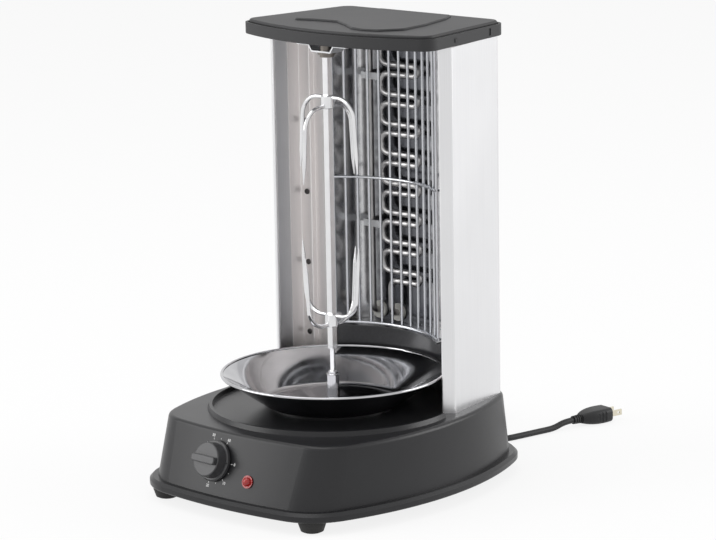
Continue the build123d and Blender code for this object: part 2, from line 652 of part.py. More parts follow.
# ================================================================ controls and wiring
def timer_knob():
    """A round knob with a raised diametric grip and a pointer notch in its skirt."""
    skirt = Pos(0, 0, KNOB_GAP + 2.0) * Cylinder(KNOB_D / 2, 4.0)
    skirt = chamfer(skirt.edges().sort_by(Axis.Z)[-1], 1.2)
    drum = Pos(0, 0, KNOB_GAP + 8.5) * Cone(KNOB_D / 2 - 2.5, KNOB_D / 2 - 3.6, 9.5)
    drum = fillet(drum.edges().sort_by(Axis.Z)[-1], 1.2)
    grip = Pos(0, 0, KNOB_GAP + 14.0) * Box(KNOB_D - 9, 7.5, 8.0)
    grip = fillet(grip.edges().filter_by(Axis.Z), 3.0)
    grip = fillet(grip.faces().sort_by(Axis.Z)[-1].edges(), 1.2)
    knob = skirt + drum + grip
    knob -= Pos(0, 0, KNOB_GAP + 5.0) * Cylinder(3.0, 12.0)
    knob -= Pos(KNOB_D / 2, 0, KNOB_GAP + 4.0) * Box(5, 1.2, 2)
    return panel_plane(KNOB_X, KNOB_Z) * solid_of(knob)


def timer_shaft():
    shaft = Pos(0, 0, -3.5) * Cylinder(3.0, 29.0)
    return panel_plane(KNOB_X, KNOB_Z) * shaft


def timer_body():
    """The clockwork timer switch behind the control face, with its screwed nose."""
    case = Pos(0, 0, -16.0) * Box(36, 34, 26)
    case = fillet(case.edges().filter_by(Axis.Z), 3.0)
    nose = Pos(0, 0, -2.5) * Cylinder(4.6, 4.4)
    body = case + nose - Pos(0, 0, -6.0) * Cylinder(3.0 + RUNNING, 26.0)
    for x in (-10, 0, 10):
        body += Pos(x, 0, -31.0) * Box(4, 0.8, 8)
    return panel_plane(KNOB_X, KNOB_Z) * solid_of(body)


def lamp_lens():
    """A domed lens with a thin flange on the control face."""
    flange = Pos(0, 0, 0.8) * Cylinder(6.2, 1.0)
    dome = Pos(0, 0, 1.2) * Sphere(4.5) & Pos(0, 0, 5.2) * Cylinder(6, 8)
    barrel = Pos(0, 0, -3.5) * Cylinder(4.5, 8.0) - Pos(0, 0, -4.5) * Cylinder(3.4, 8.0)
    return panel_plane(LAMP_X, LAMP_Z) * solid_of(flange + dome + barrel)


def lamp_body():
    """The neon lamp and its clip, behind the lens."""
    bulb = Pos(0, 0, -7.0) * Cylinder(2.8, 12.0)
    clip = Pos(0, 0, -13.0) * Cylinder(5.5, 4.0)
    return panel_plane(LAMP_X, LAMP_Z) * (bulb + clip)


def terminal_block():
    """A three-way screw terminal on the floor of the base."""
    top = 16.0
    body = block(-78, -42, 96, 112, FOOT_HEIGHT + PLATE_FLOOR, FOOT_HEIGHT + PLATE_FLOOR + top)
    for k in range(3):
        x = -72 + 12 * k
        body -= disc(2.2, FOOT_HEIGHT + PLATE_FLOOR + top - 6, 10, x, 104)
        body -= Pos(x, 104, FOOT_HEIGHT + PLATE_FLOOR + 6) * Rot(90, 0, 0) * Cylinder(2.0, 30)
    return solid_of(body)


def thermal_cutout():
    """The overheat switch, fixed to the reflector's rear face."""
    y = REFLECTOR_Y + SHEET / 2
    body = Pos(30, y + 4, 300) * Rot(90, 0, 0) * Cylinder(8.0, 8.0)
    body += block(18, 42, y, y + 0.8, 295, 305)
    for x in (25.5, 34.5):
        body += block(x - 1.5, x + 1.5, y + 7, y + 11, 299.6, 300.4)
    return solid_of(body)


# ================================================================ mains lead
GLAND_FACE_Y = BASE_HALF_DEPTH - LIP_INSET - WALL_LEAN * (GLAND_Z - PLATE_TOP) / (DECK_Z - PLATE_TOP)
GLAND_END_Y = GLAND_FACE_Y + GLAND_LENGTH


def strain_relief():
    """A tapered, ringed sleeve where the lead leaves the rear wall."""
    profile = [(0, -9), (8.0, -9), (8.0, -4.2), (5.8, -4.2), (5.8, 1.0), (8.2, 1.0), (8.2, 4.0)]
    sleeve = turned(make_face(Polyline(*profile, (4.4, GLAND_LENGTH), (0, GLAND_LENGTH), close=True)))
    for k in range(4):
        z = 7.0 + 4.0 * k
        groove = disc(12, z, 1.6) - disc(5.9 - 0.5 * k - 0.6, z - 1, 4)
        sleeve -= groove
    return Pos(GLAND_X, GLAND_FACE_Y, GLAND_Z) * Rot(-90, 0, 0) * solid_of(sleeve)


def biarc(p0, t0, p1, t1):
    """Two tangent arcs for a turn that leaves along t0 and arrives along t1."""
    p0, p1, t0, t1 = (Vector(*v) for v in (p0, p1, t0, t1))
    chord = p1 - p0
    both = t0 + t1
    a = 2 * (t0.dot(t1) - 1)
    b = -2 * chord.dot(both)
    c = chord.dot(chord)
    reach = (-b - sqrt(b * b - 4 * a * c)) / (2 * a)
    joint = (p0 + t0 * reach + p1 - t1 * reach) * 0.5
    return [TangentArc(p0, joint, tangent=t0), TangentArc(p1, joint, tangent=t1 * -1)]


def coil_stations():
    """Ends of the coil's half turns: in along the upper layer, down, out along the lower."""
    x, y = COIL_CENTRE
    x += COIL_OUTER_R
    low = CORD_FLOOR
    high = CORD_FLOOR + COIL_PITCH
    radii = [COIL_OUTER_R - COIL_PITCH / 2 * k for k in range(COIL_STEPS)]
    radii += [radii[-1] - COIL_PITCH / 2] + radii[::-1]
    stations = [((x, y, high), (0, 1, 0))]
    side = -1
    for k, radius in enumerate(radii):
        x += side * 2 * radius
        z = high if k < COIL_STEPS else low
        stations.append(((x, y, z), (0, side, 0)))
        side = -side
    return stations


def coil_exit():
    """Where the coil's last part turn ends, and its heading there."""
    x, y, z = coil_stations()[-1][0]
    turn = radians(180 + COIL_LEAD_TURN)
    centre = x + COIL_LEAD_R
    point = Vector(centre + COIL_LEAD_R * cos(turn), y + COIL_LEAD_R * sin(turn), z)
    return point, Vector(-sin(turn), cos(turn), 0)


def coil_path():
    """The turns, then a part turn that leads off along the floor."""
    stations = coil_stations()
    edges = []
    for (p0, t0), (p1, t1) in zip(stations, stations[1:]):
        edges += biarc(p0, t0, p1, t1)
    last, heading = stations[-1]
    point, way = coil_exit()
    edges.append(TangentArc(last, point, tangent=heading))
    edges.append(Line(point, point + way * CORD_D))
    start = stations[0][0]
    edges.insert(0, Line((start[0], start[1] - CORD_D, start[2]), start))
    return Wire(edges)


COIL_IN = (COIL_CENTRE[0] + COIL_OUTER_R, COIL_CENTRE[1] - CORD_D, CORD_FLOOR + COIL_PITCH)
COIL_OUT = coil_exit()[0] + coil_exit()[1] * CORD_D

# The two free stretches, as points chosen by hand: from the gland down to the coil, and from
# the coil along the floor, behind the base and out to its right, up to the plug.
DROP_ROUTE = [
    (GLAND_X, GLAND_END_Y, GLAND_Z),
    (GLAND_X, GLAND_END_Y + 22.4, GLAND_Z),
    (COIL_IN[0], COIL_IN[1] - 22.4, COIL_IN[2]),
    COIL_IN,
]
FREE_ROUTE = [
    tuple(COIL_OUT),
    tuple(COIL_OUT + coil_exit()[1] * COIL_LEAD_RUN),
    (-29.0, 197.2, CORD_FLOOR),
    (0.0, 194.5, CORD_FLOOR),
    (23.7, 203.0, CORD_FLOOR),
    (38.8, 221.0, CORD_FLOOR),
    (43.9, 245.0, CORD_FLOOR),
    (48.9, 270.0, CORD_FLOOR),
    (52.4, 287.3, CORD_FLOOR),
    (55.1, 300.5, PLUG_Z),
    (57.6, 312.5, PLUG_Z),
]
PLUG_WAY = (2.5, 12.0, 0.0)


def route_radii(points):
    """Bend radii of a free stretch: 0.45 of the shorter run, over tan of half the turn."""
    radii = []
    for before, here, after in zip(points, points[1:], points[2:]):
        run_in = Vector(*here) - Vector(*before)
        run_out = Vector(*after) - Vector(*here)
        half_turn = radians(run_in.get_angle(run_out)) / 2
        radii.append(0.45 * min(run_in.length, run_out.length) / tan(half_turn))
    return radii


def cord_tube(name, points):
    """A round tube along a route, with its radii and its volume printed."""
    radii = route_radii(points)
    path = FilletPolyline(*points, radius=radii)
    section = Plane(origin=path @ 0, z_dir=path % 0) * Circle(CORD_D / 2)
    tube = sweep(section, path=path)
    expected = pi * CORD_D ** 2 / 4 * path.length
    print(name, "radii", [round(r, 1) for r in radii], "length", round(path.length, 1),
          "volume / expected", round(tube.volume / expected, 4))
    return tube


def least_self_gap(path, diameter):
    """Smallest gap between stretches of a wound tube that aren't neighbours along it."""
    count = int(path.length / 2.0)
    points = [path @ (k / count) for k in range(count + 1)]
    skip = int(4 * diameter / 2.0)
    least = min((points[i] - points[j]).length for i in range(len(points))
                for j in range(i + skip, len(points)))
    return least - diameter


def cord_coil():
    path = coil_path()
    section = Plane(origin=path @ 0, z_dir=path % 0) * Circle(CORD_D / 2)
    tube = sweep(section, path=path)
    expected = pi * CORD_D ** 2 / 4 * path.length
    print("coil length", round(path.length, 1), "volume / expected", round(tube.volume / expected, 4),
          "least self gap", round(least_self_gap(path, CORD_D), 2))
    return tube


def plug_plane():
    return Plane(origin=FREE_ROUTE[-1], x_dir=(PLUG_WAY[1], -PLUG_WAY[0], 0), z_dir=PLUG_WAY)


def plug_body():
    """A flat moulded plug: a ribbed neck that widens to a rounded block with finger grooves."""
    stations = [(10.0, 12.0, 9.6, 4.0), (20.0, 21.0, 13.6, 4.8), (30.0, 24.6, 15.0, 4.8),
                (PLUG_LENGTH, 23.0, 15.0, 4.8)]
    sections = [(Pos(0, 0, z) * RectangleRounded(width, height, radius)).face()
                for z, width, height, radius in stations]
    body = loft(sections) + Cone(4.4, 5.0, 12.0, align=(Align.CENTER, Align.CENTER, Align.MIN))
    for k in range(3):
        body -= disc(12, 2.2 + 2.6 * k, 1.2) - disc(3.9, 1 + 2.6 * k, 4)
    for side in (-1, 1):
        for k in range(3):
            groove = Pos(side * 13.0, 0, 27.0 + 4.5 * k) * Rot(90, 0, 0) * Cylinder(1.5, 20)
            body -= groove
    return plug_plane() * solid_of(body)


def plug_pins():
    """Two flat contact blades side by side, each with a hole near its tip."""
    blades = []
    for side in (-1, 1):
        place = Pos(side * BLADE_X, 0, PLUG_LENGTH + BLADE_LENGTH / 2)
        blade = place * Box(BLADE_THICK, BLADE_WIDE, BLADE_LENGTH)
        blade = chamfer(blade.faces().sort_by(Axis.Z)[-1].edges(), 0.6)
        blade -= place * Pos(0, 0, 3.5) * Rot(0, 90, 0) * Cylinder(1.5, 6)
        blades.append(plug_plane() * solid_of(blade))
    return group(blades)


# ================================================================ build
def build():
    save("base_housing", base_housing())
    save("base_plate", base_plate())
    save("rubber_feet", group([Pos(x, y, 0) * rubber_foot() for x, y in foot_places()]))
    save("base_screws", group([Pos(x, y, FOOT_HEIGHT + 3.0) * pan_head_screw(14)
                               for x, y in BOSS_PLACES]))
    save("gear_motor", gear_motor())
    save("motor_bracket", motor_bracket())
    save("motor_shaft", motor_shaft())
    save("drive_socket", drive_socket())
    save("drive_bush", drive_bush())
    save("drip_pan", drip_pan())
    save("pan_tube", pan_tube())
    save("skewer_bar", skewer_bar())
    for name, z, along in (("upper", UPPER_HUB_Z, -1), ("lower", LOWER_HUB_Z, 1)):
        save(f"{name}_fork_hub", fork_hub(z))
        save(f"{name}_fork_prongs", fork_prongs(z, along))
        save(f"{name}_thumb_screw", thumb_screw(z))
    save("steel_housing", steel_housing())
    save("left_bulkhead", bulkhead(-1))
    save("right_bulkhead", bulkhead(1))
    save("bulkhead_screws", group([
        Pos(side * LINER_SCREW_X, BULKHEAD_Y - SHEET / 2, z) * Rot(-90, 0, 0)
        * pan_head_screw(6, 5.6, 1.8) for side in (-1, 1) for z in LINER_SCREW_Z]))
    save("rear_reflector", rear_reflector())
    save("heat_guard", heat_guard())
    save("wire_grille", wire_grille())
    save("heater_element", heater_element())
    save("ceramic_terminals", group([ceramic_terminal(x, z) for x, z in terminal_places()]))
    save("heater_clips", group([heater_clip(z) for z in CLIP_Z]))
    save("thermal_cutout", thermal_cutout())
    save("cover_frame", cover_frame())
    save("cover_lid", cover_lid())
    save("heat_shield", heat_shield())
    save("bearing_bracket", bearing_bracket())
    save("top_bush", top_bush())
    save("cover_screws", group([Pos(x, y, STEEL_TOP) * pan_head_screw(7)
                                for x, y in cover_boss_places()]))
    save("timer_knob", timer_knob())
    save("timer_shaft", timer_shaft())
    save("timer_body", timer_body())
    save("lamp_lens", lamp_lens())
    save("lamp_body", lamp_body())
    save("terminal_block", terminal_block())
    save("strain_relief", strain_relief())
    save("cord_drop", cord_tube("cord_drop", DROP_ROUTE))
    save("cord_coil", cord_coil())
    save("cord_free", cord_tube("cord_free", FREE_ROUTE))
    save("plug_body", plug_body())
    save("plug_pins", plug_pins())


build()
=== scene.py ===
# %% [markdown]
# # An upright electric skewer grill
# A square spit turns in front of a serpentine heater, inside an open stainless housing on a
# moulded black base. The construction comes ready made, at its real size and in metres. This
# lesson gives it a camera, light, finishes, and the mains lead, which is a curve.

# %% Load the frame
from math import atan2, cos, radians, sin, sqrt

import bmesh
import bpy
from mathutils import Matrix, Vector


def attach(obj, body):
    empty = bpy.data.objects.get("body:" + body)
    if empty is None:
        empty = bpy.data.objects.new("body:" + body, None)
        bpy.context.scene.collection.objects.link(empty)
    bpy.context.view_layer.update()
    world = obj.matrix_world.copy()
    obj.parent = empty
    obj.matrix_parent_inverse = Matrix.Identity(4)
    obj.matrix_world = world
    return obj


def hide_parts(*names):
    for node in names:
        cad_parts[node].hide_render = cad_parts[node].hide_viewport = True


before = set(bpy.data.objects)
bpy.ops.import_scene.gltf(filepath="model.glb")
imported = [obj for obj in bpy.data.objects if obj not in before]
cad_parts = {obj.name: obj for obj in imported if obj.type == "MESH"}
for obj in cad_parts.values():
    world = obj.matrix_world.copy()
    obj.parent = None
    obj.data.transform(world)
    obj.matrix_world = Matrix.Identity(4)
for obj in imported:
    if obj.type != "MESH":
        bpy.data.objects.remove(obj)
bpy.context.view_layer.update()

# %% [markdown]
# ## Camera
# The photograph was taken with a long lens, from the front right and a little above. The
# object stands left of the middle, so the lens is shifted rather than turned, which keeps the
# uprights as they are. A small roll about the line of sight tilts the picture as it is there.

# %% Camera
PHOTO_WIDTH, PHOTO_HEIGHT = 716, 540          # picture elements
AIM = Vector((0.0, 0.0, 0.230))               # on the skewer
AIM_PIXEL = (330.7, 255.9)                    # where the photograph shows that point
AZIMUTH, ELEVATION, ROLL = radians(42.0), radians(11.8), radians(-1.1)
DISTANCE = 3.120
FOCAL_LENGTH, SENSOR = 160.0, 36.0            # millimetres


def add_camera():
    data = bpy.data.cameras.new("camera")
    data.lens, data.sensor_width = FOCAL_LENGTH, SENSOR
    data.shift_x = (PHOTO_WIDTH / 2 - AIM_PIXEL[0]) / PHOTO_WIDTH
    data.shift_y = (AIM_PIXEL[1] - PHOTO_HEIGHT / 2) / PHOTO_WIDTH
    camera = bpy.data.objects.new("camera", data)
    bpy.context.scene.collection.objects.link(camera)
    back = Vector((sin(AZIMUTH) * cos(ELEVATION), -cos(AZIMUTH) * cos(ELEVATION), sin(ELEVATION)))
    turn = (-back).to_track_quat("-Z", "Y").to_matrix().to_4x4()
    camera.matrix_world = Matrix.Translation(AIM + back * DISTANCE) @ turn @ Matrix.Rotation(ROLL, 4, "Z")
    bpy.context.scene.camera = camera
    return camera


camera = add_camera()
print("camera at", [round(v, 3) for v in camera.location], "shift", round(camera.data.shift_x, 4))

# %% [markdown]
# ## The mains lead
# A lead keeps its length, so it is one curve from the gland to the plug. It leaves the rear
# wall, drops to the worktop, is wound into a neat coil behind the base, and runs out to the
# right along the worktop. A smooth NURBS line through a few control points bends as rubber
# does. The coil's turns are the same line: each half turn has seven control points, set
# outwards by the cosine of half a step, so that the smooth line lies on the true circle.

# %% Lead: named sizes
MM = 0.001                                      # the sizes below are in metres
CORD_D = 6.4 * MM
CORD_FLOOR = CORD_D / 2 + 0.2 * MM
GLAND = Vector((-26.2, 184.08, 34.0)) * MM      # where the lead leaves its sleeve
COIL_PITCH = 6.9 * MM
COIL_OUTER_R = 38.4 * MM
COIL_STEPS = 3                                  # half turns in each layer
COIL_CENTRE = (-64.6 * MM, 269.0 * MM)
COIL_LEAD_R = COIL_OUTER_R + COIL_PITCH / 2
COIL_LEAD_TURN = 60                             # degrees of the part turn that leads off
STEPS_PER_HALF_TURN = 7
COIL_RUN = 25.0                                 # millimetres straight on from the coil
LIE_Z, PLUG_Z = 3.4, 7.7                        # millimetres: the lead on the worktop, and the plug
DROP_LEAD = Vector((0, 22.4, 0)) * MM           # straight out of the gland, and straight into the coil


# %% Lead: control points of a turn
def arc_points(centre, radius, start, sweep, steps, low, high):
    """Control points of an arc, at the middles of its steps, rising smoothly from low to high."""
    step = radians(sweep / steps)
    reach = radius / cos(step / 2)
    points = []
    for k in range(steps):
        share = (k + 0.5) / steps
        turn = radians(start) + step * (k + 0.5)
        rise = share * share * (3 - 2 * share)
        points.append((centre[0] + reach * cos(turn), centre[1] + reach * sin(turn),
                       low + (high - low) * rise))
    return points


def coil_points():
    """In along the upper layer, down a layer, out along the lower one, and off to the right."""
    x, y = COIL_CENTRE[0] + COIL_OUTER_R, COIL_CENTRE[1]
    upper, lower = CORD_FLOOR + COIL_PITCH, CORD_FLOOR
    radii = [COIL_OUTER_R - COIL_PITCH / 2 * k for k in range(COIL_STEPS)]
    radii += [radii[-1] - COIL_PITCH / 2] + radii[::-1]
    points, side, z = [], -1, upper
    for k, radius in enumerate(radii):
        next_z = upper if k < COIL_STEPS else lower
        centre = (x + side * radius, y)
        points += arc_points(centre, radius, 0 if side < 0 else 180, 180, STEPS_PER_HALF_TURN, z, next_z)
        x += side * 2 * radius
        side, z = -side, next_z
    points += arc_points((x + COIL_LEAD_R, y), COIL_LEAD_R, 180, COIL_LEAD_TURN, 3, lower, lower)
    return points, (x + COIL_LEAD_R, y)


coil, lead_centre = coil_points()
lead_turn = radians(180 + COIL_LEAD_TURN)
lead_way = Vector((-sin(lead_turn), cos(lead_turn), 0))
coil_end = Vector((*lead_centre, CORD_FLOOR)) + COIL_LEAD_R * Vector((cos(lead_turn), sin(lead_turn), 0))
coil_out = coil_end + lead_way * CORD_D
print("coil control points", len(coil), "leaves at", [round(v, 4) for v in coil_out])

# %% Lead: the two free stretches
coil_in = Vector((COIL_CENTRE[0] + COIL_OUTER_R, COIL_CENTRE[1] - CORD_D, CORD_FLOOR + COIL_PITCH))
drop_route = [
    GLAND,
    GLAND + DROP_LEAD,
    coil_in - DROP_LEAD,
    coil_in,
]
free_route = [
    coil_out,
    coil_out + lead_way * COIL_RUN * MM,
    Vector((-29.0, 197.2, LIE_Z)) * MM,
    Vector((0.0, 194.5, LIE_Z)) * MM,
    Vector((23.7, 203.0, LIE_Z)) * MM,
    Vector((38.8, 221.0, LIE_Z)) * MM,
    Vector((43.9, 245.0, LIE_Z)) * MM,
    Vector((48.9, 270.0, LIE_Z)) * MM,
    Vector((52.4, 287.3, LIE_Z)) * MM,
    Vector((55.1, 300.5, PLUG_Z)) * MM,
    Vector((57.6, 312.5, PLUG_Z)) * MM,
]


# %% Lead: the curve
def smooth_line(name, points, diameter):
    data = bpy.data.curves.new(name, "CURVE")
    data.dimensions = "3D"
    data.bevel_depth = 1.0                  # times each point's radius, so that the box stays true
    data.bevel_resolution = 5
    data.resolution_u = 8
    data.use_fill_caps = True
    spline = data.splines.new("NURBS")
    spline.points.add(len(points) - 1)
    for place, point in zip(spline.points, points):
        place.co = (*point, 1.0)
        place.radius = diameter / 2
    spline.order_u = 3
    spline.use_endpoint_u = True
    curve = bpy.data.objects.new(name, data)
    bpy.context.scene.collection.objects.link(curve)
    return curve


lead = smooth_line("mains_lead", drop_route + coil + free_route, CORD_D)
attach(lead, "base")
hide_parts("cord_drop", "cord_coil", "cord_free")
print("lead control points", len(lead.data.splines[0].points))

# %% [markdown]
# ## A way to write finishes
# A finish is a small graph of shader nodes. Wiring each node by hand hides the idea, so one
# class wraps a socket and lets arithmetic on it add Math nodes, and one method makes every
# other node from its type, its settings and its sockets. Then "0.3 + 0.1 * grain" is a
# roughness.


# %% Socket arithmetic
class Value:
    """An output socket. Arithmetic on it adds Math nodes to its finish."""

    def __init__(self, finish, socket):
        self.finish, self.socket = finish, socket

    def math(self, operation, first, second):
        return self.finish.node("ShaderNodeMath", {"operation": operation}, {0: first, 1: second})

    def __add__(self, other):
        return self.math("ADD", self, other)

    def __sub__(self, other):
        return self.math("SUBTRACT", self, other)

    def __rsub__(self, other):
        return self.math("SUBTRACT", other, self)

    def __mul__(self, other):
        return self.math("MULTIPLY", self, other)

    __radd__ = __add__
    __rmul__ = __mul__


# %% Finish: a material and its nodes
class Finish:
    """A material with one Principled surface; what doesn't vary is set on its own sockets."""

    def __init__(self, name, **plain):
        self.material = bpy.data.materials.new(name)
        self.material.use_nodes = True
        self.tree = self.material.node_tree
        self.surface = self.tree.nodes["Principled BSDF"]
        for socket, value in plain.items():
            self.set(socket.replace("_", " "), value)

    def set(self, socket, value):
        target = self.surface.inputs[socket]
        if isinstance(value, Value):
            self.tree.links.new(value.socket, target)
        else:
            target.default_value = (*value, 1.0) if isinstance(value, tuple) else value

    def node(self, kind, settings=None, sockets=None, out=0):
        """Any node: settings are set first, then its sockets get values or links."""
        made = self.tree.nodes.new(kind)
        for key, value in (settings or {}).items():
            if key == "stops":
                ramp = made.color_ramp
                while len(ramp.elements) < len(value):
                    ramp.elements.new(0.5)
                for element, (place, colour) in zip(ramp.elements, value):
                    element.position, element.color = place, (*colour, 1.0)
            else:
                setattr(made, key, value)
        for key, value in (sockets or {}).items():
            if isinstance(value, Value):
                self.tree.links.new(value.socket, made.inputs[key])
            else:
                made.inputs[key].default_value = value
        return Value(self, made.outputs[out])

    def place(self, stretch=(1, 1, 1)):
        """Where a point of the piece is, in metres, stretched along each axis."""
        point = self.node("ShaderNodeTexCoord", out="Object")
        return self.node("ShaderNodeVectorMath", {"operation": "MULTIPLY"}, {0: point, 1: stretch})

    def noise(self, scale, detail=2.0, stretch=(1, 1, 1)):
        return self.node("ShaderNodeTexNoise", {}, {"Vector": self.place(stretch), "Scale": scale,
                                                    "Detail": detail})

    def tint(self, share, one, other):
        """A colour between two, by a share from 0 to 1."""
        ramp = {"stops": [(0.0, one), (1.0, other)]}
        self.set("Base Color", self.node("ShaderNodeValToRGB", ramp, {0: share}))

    def along(self, axis):
        """One coordinate of the piece's own place, in metres."""
        point = self.node("ShaderNodeTexCoord", out="Object")
        return self.node("ShaderNodeSeparateXYZ", {}, {0: point}, out=axis)

    def ramp(self, value, low, high):
        """A share that rises smoothly from 0 at low to 1 at high."""
        return self.node("ShaderNodeMapRange", {"interpolation_type": "SMOOTHSTEP"},
                         {"Value": value, "From Min": low, "From Max": high})

    def bump(self, height, strength, depth):
        self.set("Normal", self.node("ShaderNodeBump", {}, {"Height": height, "Strength": strength,
                                                          "Distance": depth}))


def dress(finish, *nodes):
    """Puts a finish on CAD nodes or new pieces."""
    for node in nodes:
        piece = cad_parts[node] if isinstance(node, str) else node
        piece.data.materials.clear()
        piece.data.materials.append(finish.material)
    print(finish.material.name, "on", len(nodes), "pieces")


# %% [markdown]
# ## Black plastic
# Base and cover are satin black mouldings. Their surface is spark-eroded in the tool, a grain
# of about half a millimetre that breaks up reflections, and handling leaves it unevenly
# glossy. A fine noise gives the grain as a bump, and a wide one varies gloss and colour.


# %% Moulded plastic
def moulded_plastic(name, dark, pale, roughness, shine=0.5, grain=1900.0):
    finish = Finish(name, IOR=1.47, Specular_IOR_Level=shine)
    wide = finish.noise(11.0, 3.0)
    fine = finish.noise(grain, 1.0)
    finish.tint(0.75 * wide + 0.25 * fine, dark, pale)
    finish.set("Roughness", roughness + 0.10 * wide)
    finish.bump(fine, 0.22, 0.00012)
    return finish


base_plastic = moulded_plastic("satin_base_plastic", (0.008, 0.008, 0.009), (0.020, 0.020, 0.022),
                               roughness=0.27, shine=0.38)
cover_plastic = moulded_plastic("satin_cover_plastic", (0.016, 0.016, 0.017), (0.036, 0.036, 0.038),
                                roughness=0.46, shine=0.42)
dress(base_plastic, "base_housing", "base_plate")
dress(cover_plastic, "cover_frame", "cover_lid")

# %% [markdown]
# ## Knob, lamp and small plastic parts
# The knob is a smoother black, a little greyer where fingers polish it. The lens is clear red
# and catches light in its dome, so it gets a smooth surface and a deep colour.

# %% Knob, lens and small parts
knob_plastic = moulded_plastic("knob_plastic", (0.028, 0.028, 0.030), (0.060, 0.060, 0.063),
                               roughness=0.24, grain=2600.0)
dress(knob_plastic, "timer_knob")

pale_plastic = moulded_plastic("pale_insulating_plastic", (0.62, 0.60, 0.55), (0.80, 0.78, 0.72), 0.38)
dress(pale_plastic, "drive_bush", "terminal_block")

red_lens = Finish("red_lens", Roughness=0.16, IOR=1.49, Specular_IOR_Level=0.6)
red_lens.tint(red_lens.noise(700.0, 1.0), (0.24, 0.006, 0.008), (0.46, 0.020, 0.018))
dress(red_lens, "lamp_lens")

lamp_glass = Finish("lamp_glass", Roughness=0.05, IOR=1.5, Transmission_Weight=0.7)
lamp_glass.tint(lamp_glass.noise(300.0), (0.85, 0.78, 0.70), (0.98, 0.92, 0.86))
dress(lamp_glass, "lamp_body")

# %% [markdown]
# ## The timer's scale
# A timer's minutes are printed round its knob in pale ink: a tick for each step and plain
# numbers beside every second one. The control face leans back and is bowed, so each mark
# gets its own small plane on that face. Ticks are thin plates, and numbers are text turned
# into mesh, and all of them are joined in one piece that lies a hair above the plastic.

# %% Scale: the control face
PLATE_TOP, DECK_Z = 21.0, 80.0           # millimetres, as in the construction
FACE_Y, FACE_LEAN, FACE_BOW_R = -161.4, 19.4, 522.0
FACE_TILT = atan2(FACE_LEAN, DECK_Z - PLATE_TOP)
KNOB_X, KNOB_Z = -18.0, 52.0
INK_LIFT = 0.10                          # above the plastic, in millimetres


def face_plane(x, z):
    """A frame on the control face: X along its bow, Y up it, Z out of it."""
    y = FACE_Y + FACE_LEAN * (z - PLATE_TOP) / (DECK_Z - PLATE_TOP) + x * x / (2 * FACE_BOW_R)
    bow = x / FACE_BOW_R
    along = Vector((sqrt(1 - bow * bow), bow, 0))
    out = Vector((bow * cos(FACE_TILT), -along.x * cos(FACE_TILT), sin(FACE_TILT))).normalized()
    turned = Matrix((along, out.cross(along), out)).transposed().to_4x4()
    return Matrix.Translation(Vector((x, y, z)) * MM) @ turned @ Matrix.Translation((0, 0, INK_LIFT * MM))


# %% Scale: ticks and numbers
SCALE_STEPS = 12                         # over the knob's 300 degrees, from its pointer at rest
SCALE_TURN = 300.0
MINUTES = 60
TICK_R, NUMBER_R = 21.8 * MM, 25.2 * MM  # from the knob's axis
NUMBER_SIZE = 3.9 * MM
NUMBER_BOLD = 0.1 * MM                   # widens each stroke
LONG_TICK, SHORT_TICK, TICK_WIDTH = 2.0 * MM, 1.2 * MM, 0.6 * MM
INK = 0.04 * MM                          # how thick the ink lies


def on_face(radius, turn):
    """The place on the control face at a distance and an angle from the knob's axis."""
    across, up = radius / MM * cos(turn), radius / MM * sin(turn) * cos(FACE_TILT)
    return face_plane(KNOB_X + across, KNOB_Z + up)


def tick(mesh, turn, length, width):
    corners = bmesh.ops.create_cube(mesh, size=1.0)["verts"]
    shape = Matrix.Diagonal((length, width, INK, 1.0))
    bmesh.ops.transform(mesh, matrix=on_face(TICK_R, turn) @ Matrix.Rotation(turn, 4, "Z") @ shape,
                        verts=corners)


def number(mesh, turn, words):
    text = bpy.data.curves.new("number", "FONT")
    text.body, text.size, text.extrude = words, NUMBER_SIZE, INK / 2
    text.offset = NUMBER_BOLD
    text.align_x, text.align_y = "CENTER", "CENTER"
    holder = bpy.data.objects.new("number", text)
    flat = bpy.data.meshes.new_from_object(holder)
    flat.transform(on_face(NUMBER_R, turn))
    mesh.from_mesh(flat)
    bpy.data.objects.remove(holder)
    bpy.data.curves.remove(text)
    bpy.data.meshes.remove(flat)


def timer_scale():
    mesh = bmesh.new()
    for step in range(SCALE_STEPS + 1):
        turn = -radians(SCALE_TURN) * step / SCALE_STEPS
        named = step % 2 == 0
        tick(mesh, turn, LONG_TICK if named else SHORT_TICK, TICK_WIDTH)
        if named:
            number(mesh, turn, str(MINUTES * step // SCALE_STEPS))
    data = bpy.data.meshes.new("timer_scale")
    mesh.to_mesh(data)
    mesh.free()
    piece = bpy.data.objects.new("timer_scale", data)
    bpy.context.scene.collection.objects.link(piece)
    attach(piece, "base")
    return piece


scale_ink = Finish("pale_scale_ink", IOR=1.48, Specular_IOR_Level=0.4)
worn = scale_ink.noise(900.0, 3.0)
scale_ink.tint(worn, (0.58, 0.58, 0.58), (0.82, 0.82, 0.81))
scale_ink.set("Roughness", 0.45 + 0.2 * worn)
scale = timer_scale()
dress(scale_ink, scale)
print("scale faces", len(scale.data.polygons))

# %% [markdown]
# ## Rubber
# Feet, lead, sleeve and plug are matt rubber or soft vinyl: dark, never shiny, and dusty in
# broad patches.


# %% Rubber
def rubber(name, dark, pale, roughness):
    finish = Finish(name, IOR=1.5, Specular_IOR_Level=0.35)
    dust = finish.noise(60.0, 4.0)
    fine = finish.noise(2200.0, 1.0)
    finish.tint(dust, dark, pale)
    finish.set("Roughness", roughness + 0.16 * dust)
    finish.bump(fine, 0.25, 0.0001)
    return finish


dress(rubber("foot_rubber", (0.012, 0.012, 0.012), (0.032, 0.031, 0.030), 0.55), "rubber_feet")
lead_vinyl = rubber("lead_vinyl", (0.008, 0.008, 0.009), (0.022, 0.022, 0.023), 0.40)
dress(lead_vinyl, lead, "strain_relief", "plug_body")

